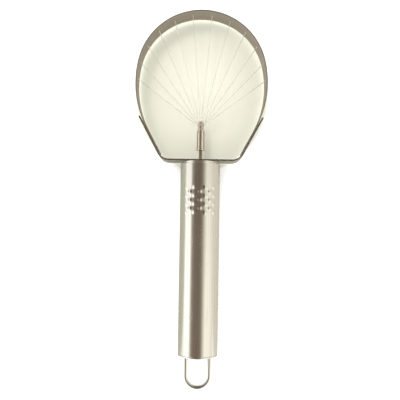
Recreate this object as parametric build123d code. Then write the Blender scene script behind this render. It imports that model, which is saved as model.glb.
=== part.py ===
from build123d import *
import os
from math import cos, pi, radians, sin, sqrt, tan

# Hand-held egg slicer: a round handle, a forked yoke, a hoop of steel strip and
# a fan of taut cutting wires strung from a central post to the hoop.
# Sizes in millimetres. The tool lies on its back: +Y runs from the hanging loop
# to the hoop, +Z is up, and the origin is under the middle of the whole tool.
# The parts are drawn about the hoop's centre, in the plane of the wires, and
# are moved to the origin when they are written.

# Hoop: a strip bent to a round crown, eased at the shoulders into two flatter
# side arcs that draw it in, and finished with straight ends.
hoop_inner_radius = 35.4
hoop_thickness = 0.6
strip_width = 15.5
side_radius = 54.0
shoulder_turn = 13.4
side_turn = 28.2
hoop_end_length = 15.0

# Yoke: a thicker strip, its arms outside the hoop's straight ends.
yoke_thickness = 1.0
yoke_bend_radius = 6.0
yoke_arm_overlap = 7.8

# Post in the middle: a stud with a bullet tip, inside a sleeve.
stud_diameter = 2.1
sleeve_diameter = 4.5
sleeve_length = 12.5
sleeve_collar_diameter = 5.2
sleeve_collar_thickness = 0.7
sleeve_taper_length = 1.8
shank_exposed = 5.5
tip_diameter = 3.0
tip_length = 4.1
nut_across_flats = 5.0
nut_thickness = 2.0
washer_diameter = 5.6
washer_thickness = 0.5
stud_tail = 1.5

# Cutting wires: a fan in one plane, seated at three levels in the tip.
wire_count = 12
wire_diameter = 0.35
wire_pitch = 9.6
wire_seat_radius = 1.2
wire_level_step = 0.6
bead_diameter = 1.8
bead_grip = 0.4
apex_above_tip_root = 0.2

# Handle tube with an embossed grip patch.
handle_diameter = 22.0
handle_wall = 0.8
handle_length = 105.3
bump_diameter = 3.0
bump_height = 0.35
bump_rows = 7
bump_row_pitch = 2.27
bump_column_pitch = 15.0
bump_columns_each_side = 3
bump_patch_start = 12.2

# Plugs that close the handle's two ends.
plug_flange_diameter = 20.8
plug_flange_thickness = 1.0
plug_length = 8.0
cap_flange_thickness = 1.0
cap_edge_radius = 0.6
cap_length = 7.5

# Hanging loop of round wire, hinged on its own bent ends inside the end cap.
loop_wire_diameter = 2.2
loop_pin_length = 2.8
loop_reach = 18.7
loop_pivot_depth = 3.5
loop_bend_radius = 1.3
loop_swing = 25.0

# Clearances.
pin_clearance = 0.06
hole_clearance = 0.05
seat_clearance = 0.03
wire_clearance = 0.02
weld_gap = 0.02
hoop_end_clearance = 0.4
swing_clearance = 0.3
pin_inset = 0.25
through = 1.0

# Stations along the handle's axis, worked out from the sizes above.
handle_radius = handle_diameter / 2
turn = radians(side_turn)
shoulder = radians(shoulder_turn)
side_centre_x = (hoop_inner_radius - side_radius) * cos(shoulder)
side_centre_y = (hoop_inner_radius - side_radius) * sin(shoulder)
arm_offset = hoop_thickness + weld_gap + yoke_thickness / 2
arm_root_x = side_centre_x + (side_radius + arm_offset) * cos(turn)
arm_root_y = side_centre_y - (side_radius + arm_offset) * sin(turn)
bend_line_radius = yoke_bend_radius + yoke_thickness / 2
bend_setback = bend_line_radius * tan((pi / 2 - turn) / 2)
arm_drop = hoop_end_length + hoop_end_clearance + bend_setback
base_top_y = arm_root_y - arm_drop * cos(turn) + yoke_thickness / 2
base_bottom_y = base_top_y - yoke_thickness
tube_top_y = base_bottom_y - plug_flange_thickness
tube_end_y = tube_top_y - handle_length
cap_face_y = tube_end_y - cap_flange_thickness
pivot_y = cap_face_y + loop_pivot_depth
loop_end_y = cap_face_y - loop_reach
sleeve_bottom_y = base_top_y + shank_exposed
tip_root_y = sleeve_bottom_y + sleeve_length
tip_top_y = tip_root_y + tip_length
apex_y = tip_root_y + apex_above_tip_root
plug_bottom_y = tube_top_y - plug_length

# The loop's pins stop short of the tube's bore, and its legs stand a pin's
# length inside their ends.
spigot_radius = handle_radius - handle_wall - seat_clearance
pin_x = spigot_radius - loop_wire_diameter / 2 + pin_inset
leg_x = pin_x - loop_pin_length


def along_y(radius, y_low, y_high):
    """A round bar on the handle's axis between two stations."""
    bar = Cylinder(radius, y_high - y_low)
    return Pos(0, (y_low + y_high) / 2, 0) * Rot(90, 0, 0) * bar


def rod(start, end, radius):
    """A round bar between two points."""
    span = end - start
    return Plane(origin=start, z_dir=span) * Cylinder(
        radius, span.length, align=(Align.CENTER, Align.CENTER, Align.MIN)
    )


def round_sweep(path, radius):
    """A round wire swept along a path."""
    return sweep(Plane(origin=path @ 0, z_dir=path % 0) * Circle(radius), path=path)


def strip_sweep(path, thickness):
    """A flat strip swept along a path, its width standing along Z."""
    start = Plane(origin=path @ 0, x_dir=(0, 0, 1), z_dir=path % 0)
    return sweep(start * Rectangle(strip_width, thickness), path=path)


def hoop_path(offset):
    """The hoop's line, a distance outside its inner face."""
    side = side_radius + offset
    sweep_turn = side_turn + shoulder_turn
    right = CenterArc((side_centre_x, side_centre_y), side, -side_turn, sweep_turn)
    crown = CenterArc((0, 0), hoop_inner_radius + offset, shoulder_turn, 180 - 2 * shoulder_turn)
    left = CenterArc((-side_centre_x, side_centre_y), side, 180 - shoulder_turn, sweep_turn)
    drop = Vector(-sin(turn), -cos(turn)) * hoop_end_length
    right_end = Line(right @ 0 + drop, right @ 0)
    left_end = Line(left @ 1, left @ 1 + Vector(-drop.X, drop.Y))
    return Wire([right_end, right, crown, left, left_end])


def band(inner, outer):
    """The strip between two offsets from the hoop's inner face."""
    return strip_sweep(hoop_path((inner + outer) / 2), outer - inner)


def ray_reach(angle, offset):
    """How far a wire runs from the fan's apex to an offset of the hoop's face."""
    radius = hoop_inner_radius + offset
    forward = -apex_y * cos(angle)
    reach = forward + sqrt(forward**2 + radius**2 - apex_y**2)
    if apex_y + reach * cos(angle) >= reach * abs(sin(angle)) * tan(shoulder):
        return reach
    radius = side_radius + offset
    rise = side_centre_y - apex_y
    forward = side_centre_x * abs(sin(angle)) + rise * cos(angle)
    return forward + sqrt(forward**2 + radius**2 - side_centre_x**2 - rise**2)


def wire_angle(index):
    return radians(wire_pitch * (index - (wire_count - 1) / 2))


def wire_line(index, offset):
    """A wire's ends: its seat in the tip, and its end at an offset of the hoop."""
    angle = wire_angle(index)
    heading = Vector(sin(angle), cos(angle))
    apex = Vector(0, apex_y)
    level = Vector(0, 0, wire_level_step * (index % 3 - 1))
    return apex + heading * wire_seat_radius + level, apex + heading * ray_reach(angle, offset)


def wire_bores(offset):
    """Clearance bores on every wire's line."""
    radius = wire_diameter / 2 + wire_clearance
    bores = []
    for index in range(wire_count):
        start, end = wire_line(index, offset)
        past = (end - start).normalized() * wire_clearance
        bores.append(rod(start - past, end + past, radius))
    return bores


def cutting_wire(index):
    """One taut wire, from its socket in the tip to its grip in the bead."""
    start, end = wire_line(index, hoop_thickness + bead_grip)
    return rod(start, end, wire_diameter / 2)


def wire_beads():
    """A small dome on the hoop's outer face at the end of each wire."""
    backing = band(-bead_diameter, hoop_thickness + wire_clearance)
    bores = wire_bores(hoop_thickness + bead_grip)
    beads = []
    for index in range(wire_count):
        seat = wire_line(index, hoop_thickness)[1]
        beads.append(Pos(*seat) * Sphere(bead_diameter / 2) - backing - bores[index])
    return Compound(children=[bead.solid() for bead in beads])


def hoop():
    """The bent strip, drilled for each wire."""
    return band(0, hoop_thickness) - wire_bores(hoop_thickness + bead_grip)


def yoke():
    """The forked strip: flat base, two bends and two splayed arms."""
    root = Vector(arm_root_x, arm_root_y)
    along_arm = Vector(sin(turn), cos(turn))
    tip = root + along_arm * yoke_arm_overlap
    corner = root - along_arm * arm_drop
    mirrored = [Vector(-point.X, point.Y) for point in (corner, tip)]
    path = FilletPolyline(tip, corner, *mirrored, radius=bend_line_radius)
    hole = along_y(stud_diameter / 2 + hole_clearance, base_bottom_y - through, base_top_y + through)
    return strip_sweep(path, yoke_thickness) - hole


def anchor_stud():
    """The threaded stud and its bullet tip, with a socket for every wire."""
    tail_y = plug_bottom_y - washer_thickness - nut_thickness - stud_tail
    shank = along_y(stud_diameter / 2, tail_y, tip_root_y + seat_clearance)
    tip_radius = tip_diameter / 2
    dome_y = tip_top_y - tip_radius
    tip = along_y(tip_radius, tip_root_y, dome_y) + Pos(0, dome_y, 0) * Sphere(tip_radius)
    return shank + tip - wire_bores(0)


def post_sleeve():
    """The sleeve round the stud: a collar at its foot and a taper up to the tip."""
    taper_y = tip_root_y - sleeve_taper_length
    body = along_y(sleeve_diameter / 2, sleeve_bottom_y, taper_y)
    taper = Cone(sleeve_diameter / 2, tip_diameter / 2, sleeve_taper_length)
    body += Pos(0, (taper_y + tip_root_y) / 2, 0) * Rot(-90, 0, 0) * taper
    collar_top_y = sleeve_bottom_y + sleeve_collar_thickness
    collar = along_y(sleeve_collar_diameter / 2, sleeve_bottom_y, collar_top_y)
    bore = along_y(stud_diameter / 2 + hole_clearance, sleeve_bottom_y - through, tip_root_y + through)
    return body + collar - bore


def lock_washer():
    top_y = plug_bottom_y
    ring = along_y(washer_diameter / 2, top_y - washer_thickness, top_y)
    return ring - along_y(stud_diameter / 2 + hole_clearance, top_y - through, top_y + through)


def tension_nut():
    """The hexagon nut that draws the stud down and tightens the wires."""
    top_y = plug_bottom_y - washer_thickness
    outline = RegularPolygon(nut_across_flats / 2, 6, major_radius=False)
    nut = Pos(0, top_y, 0) * Rot(90, 0, 0) * extrude(outline, nut_thickness)
    bore = along_y(stud_diameter / 2 + wire_clearance, top_y - nut_thickness - through, top_y + through)
    return nut - bore


def handle_top_plug():
    """The flanged plug that the yoke is welded to."""
    flange = along_y(plug_flange_diameter / 2, tube_top_y, base_bottom_y)
    spigot = along_y(spigot_radius, plug_bottom_y, tube_top_y)
    bore = along_y(stud_diameter / 2 + hole_clearance, plug_bottom_y - through, base_bottom_y + through)
    return flange + spigot - bore


def grip_bumps():
    """The staggered domes of the grip patch, on the handle's upper face."""
    dome_radius = ((bump_diameter / 2) ** 2 + bump_height**2) / (2 * bump_height)
    middle = handle_radius + bump_height - dome_radius
    first_y = tube_top_y - bump_patch_start - bump_diameter / 2
    first_column = (bump_rows // 2) % 2
    domes = []
    for column in range(-bump_columns_each_side, bump_columns_each_side + 1):
        shift = (column + bump_columns_each_side + first_column + 1) % 2
        for row in range(shift, bump_rows, 2):
            dome = Pos(0, first_y - row * bump_row_pitch, middle) * Sphere(dome_radius)
            domes.append(Rot(0, column * bump_column_pitch, 0) * dome)
    return domes


def handle_tube():
    """The round tube with its raised grip patch."""
    bore_radius = handle_radius - handle_wall
    skin_radius = handle_radius - handle_wall / 2
    outer = along_y(handle_radius, tube_end_y, tube_top_y)
    core = along_y(skin_radius, tube_end_y, tube_top_y)
    outer += [dome - core for dome in grip_bumps()]
    return outer - along_y(bore_radius, tube_end_y - through, tube_top_y + through)


def handle_end_cap():
    """The end plug, slotted and cross-bored for the hanging loop."""
    wire_radius = loop_wire_diameter / 2
    flange = along_y(handle_radius, cap_face_y, tube_end_y)
    flange = fillet(flange.edges().group_by(Axis.Y)[0], cap_edge_radius)
    body_top_y = cap_face_y + cap_length
    body = along_y(spigot_radius, tube_end_y, body_top_y)
    swing = radians(loop_swing)
    half_height = loop_pivot_depth * tan(swing) + wire_radius / cos(swing) + swing_clearance
    half_width = leg_x + loop_bend_radius + swing_clearance
    slot_top_y = pivot_y + wire_radius + swing_clearance
    slot_length = slot_top_y - cap_face_y + through
    slot = Pos(0, slot_top_y - slot_length / 2, 0) * Box(2 * half_width, slot_length, 2 * half_height)
    cross = Pos(0, pivot_y, 0) * Rot(0, 90, 0) * Cylinder(wire_radius + pin_clearance, handle_diameter)
    return flange + body - slot - cross


def hanging_loop():
    """Round wire: two pins in the cap, two legs and a half-round end."""
    wire_radius = loop_wire_diameter / 2
    bend = loop_bend_radius
    arc_y = loop_end_y + wire_radius + leg_x
    right = [
        Line((pin_x, pivot_y), (leg_x + bend, pivot_y)),
        CenterArc((leg_x + bend, pivot_y - bend), bend, 90, 90),
        Line((leg_x, pivot_y - bend), (leg_x, arc_y)),
    ]
    end = CenterArc((0, arc_y), leg_x, 0, -180)
    left = [
        Line((-leg_x, arc_y), (-leg_x, pivot_y - bend)),
        CenterArc((-leg_x - bend, pivot_y - bend), bend, 0, 90),
        Line((-leg_x - bend, pivot_y), (-pin_x, pivot_y)),
    ]
    return round_sweep(Wire([*right, end, *left]), wire_radius)


def to_origin():
    """The move that puts the origin under the middle of the whole tool."""
    bead_tops = [wire_line(index, hoop_thickness)[1].Y + bead_diameter / 2 for index in range(wire_count)]
    top_y = max(hoop_inner_radius + hoop_thickness, *bead_tops)
    return Vector(0, -(top_y + loop_end_y) / 2, handle_radius)


def main():
    os.makedirs("parts", exist_ok=True)
    pieces = {
        "handle_tube": handle_tube(),
        "handle_top_plug": handle_top_plug(),
        "handle_end_cap": handle_end_cap(),
        "yoke": yoke(),
        "hoop": hoop(),
        "anchor_stud": anchor_stud(),
        "post_sleeve": post_sleeve(),
        "lock_washer": lock_washer(),
        "tension_nut": tension_nut(),
        "wire_beads": wire_beads(),
        "hanging_loop": hanging_loop(),
    }
    for index in range(wire_count):
        pieces[f"cutting_wire_{index + 1:02d}"] = cutting_wire(index)
    move = to_origin()
    for name, shape in pieces.items():
        export_step(Pos(*move) * shape, f"parts/{name}.step")
    print("loop hinge at", Vector(0, pivot_y, 0) + move)


main()
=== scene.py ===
import logging
import math
from dataclasses import dataclass, field
from enum import Enum
from typing import Callable, Iterator, Sequence

import bmesh
import bpy
from mathutils import Matrix, Vector


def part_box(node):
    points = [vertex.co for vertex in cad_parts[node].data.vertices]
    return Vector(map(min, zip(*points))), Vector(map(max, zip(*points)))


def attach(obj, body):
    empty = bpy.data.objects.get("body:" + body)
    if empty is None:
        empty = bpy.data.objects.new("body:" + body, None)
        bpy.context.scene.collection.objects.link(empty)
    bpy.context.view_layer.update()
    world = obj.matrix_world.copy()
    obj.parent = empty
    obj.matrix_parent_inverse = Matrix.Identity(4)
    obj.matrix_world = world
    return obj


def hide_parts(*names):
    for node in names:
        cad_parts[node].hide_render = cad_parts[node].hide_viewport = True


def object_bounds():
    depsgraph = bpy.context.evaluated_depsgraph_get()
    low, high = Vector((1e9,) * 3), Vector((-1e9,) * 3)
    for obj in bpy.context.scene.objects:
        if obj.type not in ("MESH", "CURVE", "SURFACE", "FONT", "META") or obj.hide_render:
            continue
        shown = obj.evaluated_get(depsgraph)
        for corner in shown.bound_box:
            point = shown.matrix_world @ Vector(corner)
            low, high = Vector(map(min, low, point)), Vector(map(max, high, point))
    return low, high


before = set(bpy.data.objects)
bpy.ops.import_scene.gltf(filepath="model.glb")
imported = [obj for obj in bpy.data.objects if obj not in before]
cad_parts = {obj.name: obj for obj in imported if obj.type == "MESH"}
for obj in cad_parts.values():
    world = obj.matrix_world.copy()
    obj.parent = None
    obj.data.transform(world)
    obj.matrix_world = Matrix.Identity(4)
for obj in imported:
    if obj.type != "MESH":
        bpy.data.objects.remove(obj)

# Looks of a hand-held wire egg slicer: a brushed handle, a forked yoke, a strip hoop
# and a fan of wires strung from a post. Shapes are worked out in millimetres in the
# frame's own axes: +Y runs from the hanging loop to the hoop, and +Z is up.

CAD_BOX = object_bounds()
MM = 0.001
WIRE_COUNT = 12
SHARP_ANGLE = 38.0
SAME_SPOT = 2e-7
GRAIN_ROUND = 0.4
PLUG_CLEARANCE = 0.03
STATION_GAP = 0.1
LOG = logging.getLogger("egg_slicer")

Colour = tuple[float, float, float]
Direction = tuple[float, float, float]
Outline = list[tuple[float, float]]
Sockets = dict[str, bpy.types.NodeSocket]


class Body(Enum):
    """The rigid bodies that the pieces ride on."""

    SLICER = "slicer"
    LOOP = "loop"


class Slot(Enum):
    """The material slots."""

    HANDLE = "brushed_handle"
    FRAME = "frame_strip"
    POST = "turned_post"
    HARDWARE = "plain_hardware"
    BEAD = "wire_bead"
    WIRE = "cutting_wire"
    LOOP = "bright_loop"


@dataclass(frozen=True)
class Span:
    """The box of a CAD node, in millimetres."""

    low: Vector
    high: Vector

    @classmethod
    def of(cls, node: str) -> "Span":
        """Reads the box of a CAD node."""
        low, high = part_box(node)
        return cls(low / MM, high / MM)

    @property
    def size(self) -> Vector:
        """The three sides of the box."""
        return self.high - self.low


# ------------------------------------------------------------------- meshes


@dataclass
class Skin:
    """A mesh being built: rings of points joined one to the next.

    Each point carries its place in the grain, with the grain's own direction second,
    and how exposed it is to wear: 1 at an edge, 0 on a face, and less where it is polished.
    """

    points: list[Vector] = field(default_factory=list)
    faces: list[list[int]] = field(default_factory=list)
    grain: list[Vector] = field(default_factory=list)
    worn: list[float] = field(default_factory=list)

    def add_ring(
        self, points: Sequence[Vector], grain: Sequence[Vector], worn: Sequence[float]
    ) -> int:
        """Adds one ring of points.

        Args:
            points: Places in millimetres.
            grain: Place of each point in the grain.
            worn: Exposure of each point: 1 at an edge, below 0 where polished.

        Returns:
            The index of the ring's first point.
        """
        first = len(self.points)
        self.points += [point.copy() for point in points]
        self.grain += [place.copy() for place in grain]
        self.worn += worn
        return first

    def join(
        self, firsts: Sequence[int], count: int, loop: bool = False, capped: bool = True
    ) -> None:
        """Joins rings into a closed skin.

        Args:
            firsts: First point of each ring, in order.
            count: Points in each ring.
            loop: Whether the last ring joins the first.
            capped: Whether the end rings are closed with a face.
        """
        pairs = list(zip(firsts, firsts[1:]))
        if loop:
            pairs.append((firsts[-1], firsts[0]))
        for here, there in pairs:
            for step in range(count):
                after = (step + 1) % count
                self.faces.append([here + step, here + after, there + after, there + step])
        if capped and not loop:
            self.faces.append([firsts[0] + step for step in reversed(range(count))])
            self.faces.append([firsts[-1] + step for step in range(count)])

    def to_object(self, name: str, sharp_angle: float = SHARP_ANGLE) -> bpy.types.Object:
        """Makes the mesh object.

        Args:
            name: The piece's name.
            sharp_angle: Edges that turn more than this many degrees stay crisp.

        Returns:
            The object, in metres, in the scene.
        """
        mesh = bpy.data.meshes.new(name)
        mesh.from_pydata([point * MM for point in self.points], [], self.faces)
        grain = mesh.attributes.new("grain", "FLOAT_VECTOR", "POINT")
        grain.data.foreach_set("vector", [part for place in self.grain for part in place])
        mesh.attributes.new("worn", "FLOAT", "POINT").data.foreach_set("value", self.worn)
        work = bmesh.new()
        work.from_mesh(mesh)
        bmesh.ops.remove_doubles(work, verts=work.verts, dist=SAME_SPOT)
        bmesh.ops.recalc_face_normals(work, faces=work.faces)
        work.to_mesh(mesh)
        work.free()
        mesh.shade_smooth()
        mesh.set_sharp_from_angle(angle=math.radians(sharp_angle))
        piece = bpy.data.objects.new(name, mesh)
        bpy.context.collection.objects.link(piece)
        return piece


def steps(start: float, end: float, size: float) -> list[float]:
    """Even stations from start to end, no further apart than size."""
    count = max(1, math.ceil(abs(end - start) / size))
    return [start + (end - start) * index / count for index in range(count + 1)]


def eased(share: float) -> float:
    """A share from 0 to 1, slow at both ends."""
    share = min(1.0, max(0.0, share))
    return share * share * (3 - 2 * share)


def turns(first: int, last: int, step: int) -> list[float]:
    """Angles from first to last, given in whole degrees and returned in radians."""
    return [math.radians(turn) for turn in range(first, last + 1, step)]


def soft_end(radius: float) -> Outline:
    """How far in from a square end each ring of an eased end lies, and how much thinner it is."""
    return [(radius * (1 - math.cos(a)), radius * (1 - math.sin(a))) for a in turns(0, 90, 30)]


def rounded_corner(
    centre: tuple[float, float], radius: float, start: float, parts: int = 4
) -> Outline:
    """Points round a quarter turn of an outline, anticlockwise.

    Args:
        centre: The corner's centre.
        radius: Its radius.
        start: First angle, in degrees.
        parts: Segments in the quarter turn.

    Returns:
        The corner's points.
    """
    angles = [math.radians(start + 90 * part / parts) for part in range(parts + 1)]
    return [(centre[0] + radius * math.cos(a), centre[1] + radius * math.sin(a)) for a in angles]


def rounded_box(half_wide: float, half_high: float, soft: float, parts: int = 4) -> Outline:
    """Points round a box with rounded corners, anticlockwise.

    Args:
        half_wide: Half its width.
        half_high: Half its height.
        soft: Radius of its corners.
        parts: Segments in each corner.

    Returns:
        The box's points.
    """
    corners = ((1, 1, 0), (-1, 1, 90), (-1, -1, 180), (1, -1, 270))
    wide, high = half_wide - soft, half_high - soft
    return [spot for x, y, start in corners
            for spot in rounded_corner((x * wide, y * high), soft, start, parts)]


@dataclass(frozen=True)
class Turning:
    """A section turned about a line along Y, with its grain running round it."""

    outline: Outline
    centre_z: float
    sides: int = 96
    loop: bool = True
    worn: Callable[[float, float], float] = lambda radius, y: 0.0
    relief: Callable[[float, float, float], float] = lambda angle, radius, y: 0.0

    def add_to(self, skin: Skin) -> None:
        """Adds the turned skin.

        Args:
            skin: The mesh being built.
        """
        firsts = []
        for radius, y in self.outline:
            ring, grain = [], []
            for side in range(self.sides):
                angle = math.tau * side / self.sides
                reach = radius + self.relief(angle, radius, y)
                spot = Vector((reach * math.sin(angle), y, reach * math.cos(angle)))
                ring.append(spot + Vector((0, 0, self.centre_z)))
                grain.append(Vector((y, GRAIN_ROUND * (spot.x + spot.z), reach)))
            firsts.append(skin.add_ring(ring, grain, [self.worn(radius, y)] * self.sides))
        skin.join(firsts, self.sides, self.loop, capped=False)


@dataclass(frozen=True)
class RoundWire:
    """Round wire along a path, with softened ends."""

    path: Sequence[Vector]
    radius: float
    sides: int = 24
    end_radius: float = 0.1

    def stations(self) -> Iterator[tuple[Vector, Vector, float, float]]:
        """Centre, heading, radius and run of each ring, with the ends rounded off.

        Returns:
            The rings, from the first end to the last.
        """
        soft = soft_end(self.end_radius)
        first_way = (self.path[1] - self.path[0]).normalized()
        last_way = (self.path[-1] - self.path[-2]).normalized()
        run = 0.0
        for lift, cut in soft:
            yield self.path[0] + first_way * lift, first_way, self.radius - cut, lift
        for index in range(1, len(self.path) - 1):
            before, here, after = self.path[index - 1:index + 2]
            run += (here - before).length
            yield here, (after - before).normalized(), self.radius, run
        run += (self.path[-1] - self.path[-2]).length
        for lift, cut in reversed(soft):
            yield self.path[-1] - last_way * lift, last_way, self.radius - cut, run - lift

    def add_to(self, skin: Skin) -> None:
        """Adds the wire's skin.

        Args:
            skin: The mesh being built.
        """
        firsts, side = [], Vector((0, 0, 1))
        for centre, heading, radius, run in self.stations():
            side = (side - heading * side.dot(heading)).normalized()
            across = heading.cross(side)
            ring, grain = [], []
            for step in range(self.sides):
                angle = math.tau * step / self.sides
                arm = (side * math.cos(angle) + across * math.sin(angle)) * radius
                ring.append(centre + arm)
                grain.append(Vector((radius * math.cos(angle), run, radius * math.sin(angle))))
            firsts.append(skin.add_ring(ring, grain, [0.0] * self.sides))
        skin.join(firsts, self.sides)


@dataclass(frozen=True)
class StripSection:
    """The section of a flat strip: its width stands along Z and its thickness faces outwards."""

    width: float
    inner: float
    outer: float
    edge: float
    rows: Sequence[float] = ()

    def points(self) -> list[tuple[float, float, float]]:
        """Height, offset and wear of each point round the section.

        Returns:
            The points, round from the upper outer corner.
        """
        half, soft = self.width / 2, self.edge
        corners = [(half - soft, self.outer - soft, 0), (-half + soft, self.outer - soft, 90),
                   (-half + soft, self.inner + soft, 180), (half - soft, self.inner + soft, 270)]
        around = []
        for number, (z, offset, start) in enumerate(corners):
            around += [(*spot, 1.0) for spot in rounded_corner((z, offset), soft, start)]
            if number == 0:
                around += [(z, self.outer, 0.0) for z in reversed(self.rows)]
            if number == 2:
                around += [(z, self.inner, 0.0) for z in self.rows]
        return around


@dataclass(frozen=True)
class StripSweep:
    """A flat strip bent along a line in the plane of the wires.

    The dent moves points of a face along the outward direction, and polish says how much
    each millimetre of it lowers their wear.
    """

    line: Callable[[float], tuple[Vector, Vector]]
    runs: Sequence[float]
    section: StripSection
    dent: Callable[[float, float, float], float] = lambda run, z, offset: 0.0
    polish: float = 0.0

    def add_to(self, skin: Skin) -> None:
        """Adds the strip's skin, with its two ends eased.

        Args:
            skin: The mesh being built.
        """
        around = self.section.points()
        middle = (self.section.inner + self.section.outer) / 2
        soft, first, last = self.section.edge, self.runs[0], self.runs[-1]
        ends = soft_end(soft)
        stations = [(first + lift, inset) for lift, inset in ends]
        stations += [(run, 0.0) for run in self.runs if first + soft < run < last - soft]
        stations += [(last - lift, inset) for lift, inset in reversed(ends)]
        firsts = []
        for run, inset in stations:
            spot, out = self.line(run)
            narrow = 1 - 2 * inset / self.section.width
            thin = 1 - 2 * inset / (self.section.outer - self.section.inner)
            ring, grain, worn = [], [], []
            for z, offset, wear_and_rim_shade in around:
                dent = self.dent(run, z, offset)
                reach = middle + (offset - middle) * thin + dent
                ring.append(spot + out * reach + Vector((0, 0, z * narrow)))
                grain.append(Vector((z, run, offset)))
                worn.append(max(wear_and_rim_shade, 1.0 if inset else 0.0) - abs(dent) * self.polish)
            firsts.append(skin.add_ring(ring, grain, worn))
        skin.join(firsts, len(around))


# ------------------------------------------------------------ shader groups


@dataclass
class Graph:
    """Adds and joins the nodes of one tree."""

    tree: bpy.types.NodeTree

    def node(
        self, kind: str, inputs: dict[str | int, object] | None = None, **settings: object
    ) -> bpy.types.Node:
        """Adds a node.

        Args:
            kind: The node's type name.
            inputs: Values or output sockets for its inputs.
            **settings: Properties of the node.

        Returns:
            The node.
        """
        made = self.tree.nodes.new(kind)
        for key, value in settings.items():
            setattr(made, key, value)
        for key, value in (inputs or {}).items():
            self.feed(made.inputs[key], value)
        return made

    def feed(self, socket: bpy.types.NodeSocket, value: object) -> None:
        """Links an output into a socket, or sets a plain value on it.

        Args:
            socket: The input.
            value: An output socket, or a plain value.
        """
        if isinstance(value, bpy.types.NodeSocket):
            self.tree.links.new(value, socket)
        else:
            socket.default_value = value

    def math(self, operation: str, first: object, second: object = 0.0) -> bpy.types.NodeSocket:
        """Joins two numbers by a Math node."""
        return self.node("ShaderNodeMath", {0: first, 1: second}, operation=operation).outputs[0]

    def spread(
        self, value: object, low: float, high: float, to_low: float = 0.0, to_high: float = 1.0
    ) -> bpy.types.NodeSocket:
        """Maps one range of numbers onto another, with eased ends.

        Args:
            value: The socket to map.
            low: Start of its range.
            high: End of its range.
            to_low: What the start becomes.
            to_high: What the end becomes.

        Returns:
            The mapped socket.
        """
        ranges = {
            "Value": value, "From Min": low, "From Max": high, "To Min": to_low, "To Max": to_high,
        }
        made = self.node("ShaderNodeMapRange", ranges, interpolation_type="SMOOTHSTEP")
        return made.outputs["Result"]

    def blend(self, share: object, first: object, second: object) -> bpy.types.NodeSocket:
        """Mixes two colours by a share.

        Args:
            share: How much of the second colour.
            first: The first colour.
            second: The second colour.

        Returns:
            The mixed colour.
        """
        made = self.node("ShaderNodeMix", data_type="RGBA")
        for key, value in (("Factor", share), (6, first), (7, second)):
            self.feed(made.inputs[key], value)
        return made.outputs[2]


@dataclass(frozen=True)
class Effect:
    """A shader node group that the finishes share: built once, placed with each one's values."""

    name: str
    inputs: tuple[tuple[str, str, float], ...]
    outputs: tuple[str, ...]
    build: Callable[[Graph, Sockets], Sockets]

    def group(self) -> bpy.types.NodeTree:
        """Returns the group, and builds it the first time.

        Returns:
            The node group.
        """
        if self.name in bpy.data.node_groups:
            return bpy.data.node_groups[self.name]
        tree = bpy.data.node_groups.new(self.name, "ShaderNodeTree")
        for name, kind, start in self.inputs:
            socket = tree.interface.new_socket(name, in_out="INPUT", socket_type=kind)
            if kind == "NodeSocketFloat":
                socket.default_value = start
        for name in self.outputs:
            tree.interface.new_socket(name, in_out="OUTPUT", socket_type="NodeSocketFloat")
        entry = tree.nodes.new("NodeGroupInput")
        made = self.build(Graph(tree), {socket.name: socket for socket in entry.outputs})
        leave = tree.nodes.new("NodeGroupOutput")
        for name, socket in made.items():
            tree.links.new(socket, leave.inputs[name])
        return tree

    def place(self, graph: Graph, **values: object) -> bpy.types.Node:
        """Places the group in a material.

        Args:
            graph: The material's nodes.
            **values: Value or socket of each input, with _ for a space.

        Returns:
            The group node.
        """
        made = graph.node("ShaderNodeGroup", node_tree=self.group())
        for key, value in values.items():
            graph.feed(made.inputs[key.replace("_", " ")], value)
        return made


def build_grain(graph: Graph, given: Sockets) -> Sockets:
    """Brushed grain: fine lines for the relief and broad bands for the tint.

    Args:
        graph: The nodes of the group.
        given: The group's inputs.

    Returns:
        The height and the band.
    """
    across = graph.math("DIVIDE", 1.0, given["Across"])
    along = graph.math("DIVIDE", 1.0, given["Along"])
    pitch = graph.node("ShaderNodeCombineXYZ", {"X": across, "Y": along, "Z": across}).outputs[0]
    scaled = graph.node("ShaderNodeVectorMath", {0: given["Vector"], 1: pitch}, operation="MULTIPLY")
    place = scaled.outputs[0]
    lines = graph.node(
        "ShaderNodeTexNoise", {"Vector": place, "Scale": 1.0, "Detail": 4.0, "Roughness": 0.62}
    )
    bands = graph.node(
        "ShaderNodeTexNoise", {"Vector": place, "Scale": 0.17, "Detail": 3.0, "Roughness": 0.55}
    )
    return {
        "Height": graph.spread(lines.outputs[0], 0.25, 0.75),
        "Band": graph.spread(bands.outputs[0], 0.3, 0.7),
    }


def build_smudge(graph: Graph, given: Sockets) -> Sockets:
    """Soft patches left by handling and wiping.

    Args:
        graph: The nodes of the group.
        given: The group's inputs.

    Returns:
        The mask.
    """
    place = graph.node("ShaderNodeTexCoord").outputs["Object"]
    pitch = graph.math("DIVIDE", 1 / MM, given["Size"])
    cloud = graph.node(
        "ShaderNodeTexNoise",
        {"Vector": place, "Scale": pitch, "Detail": 5.0, "Roughness": 0.6, "Distortion": 0.8},
    )
    return {"Mask": graph.spread(cloud.outputs[0], 0.42, 0.72)}


def build_edge_wear_and_shade(graph: Graph, given: Sockets) -> Sockets:
    """Rubbed edges and polished dishes, broken up so that they are not even.

    On the strip and the yoke the edges darken instead of lightening: painted shade on the rims.

    Args:
        graph: The nodes of the group.
        given: The group's inputs.

    Returns:
        The mask, below 0 where polished.
    """
    place = graph.node("ShaderNodeTexCoord").outputs["Object"]
    pitch = graph.math("DIVIDE", 1 / MM, given["Size"])
    chips = graph.node("ShaderNodeTexNoise", {"Vector": place, "Scale": pitch, "Detail": 3.0})
    broken = graph.spread(chips.outputs[0], 0.3, 0.6, 0.35, 1.0)
    exposed = graph.math("MULTIPLY", given["Worn"], broken)
    return {"Mask": graph.math("MULTIPLY", exposed, given["Amount"])}


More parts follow.
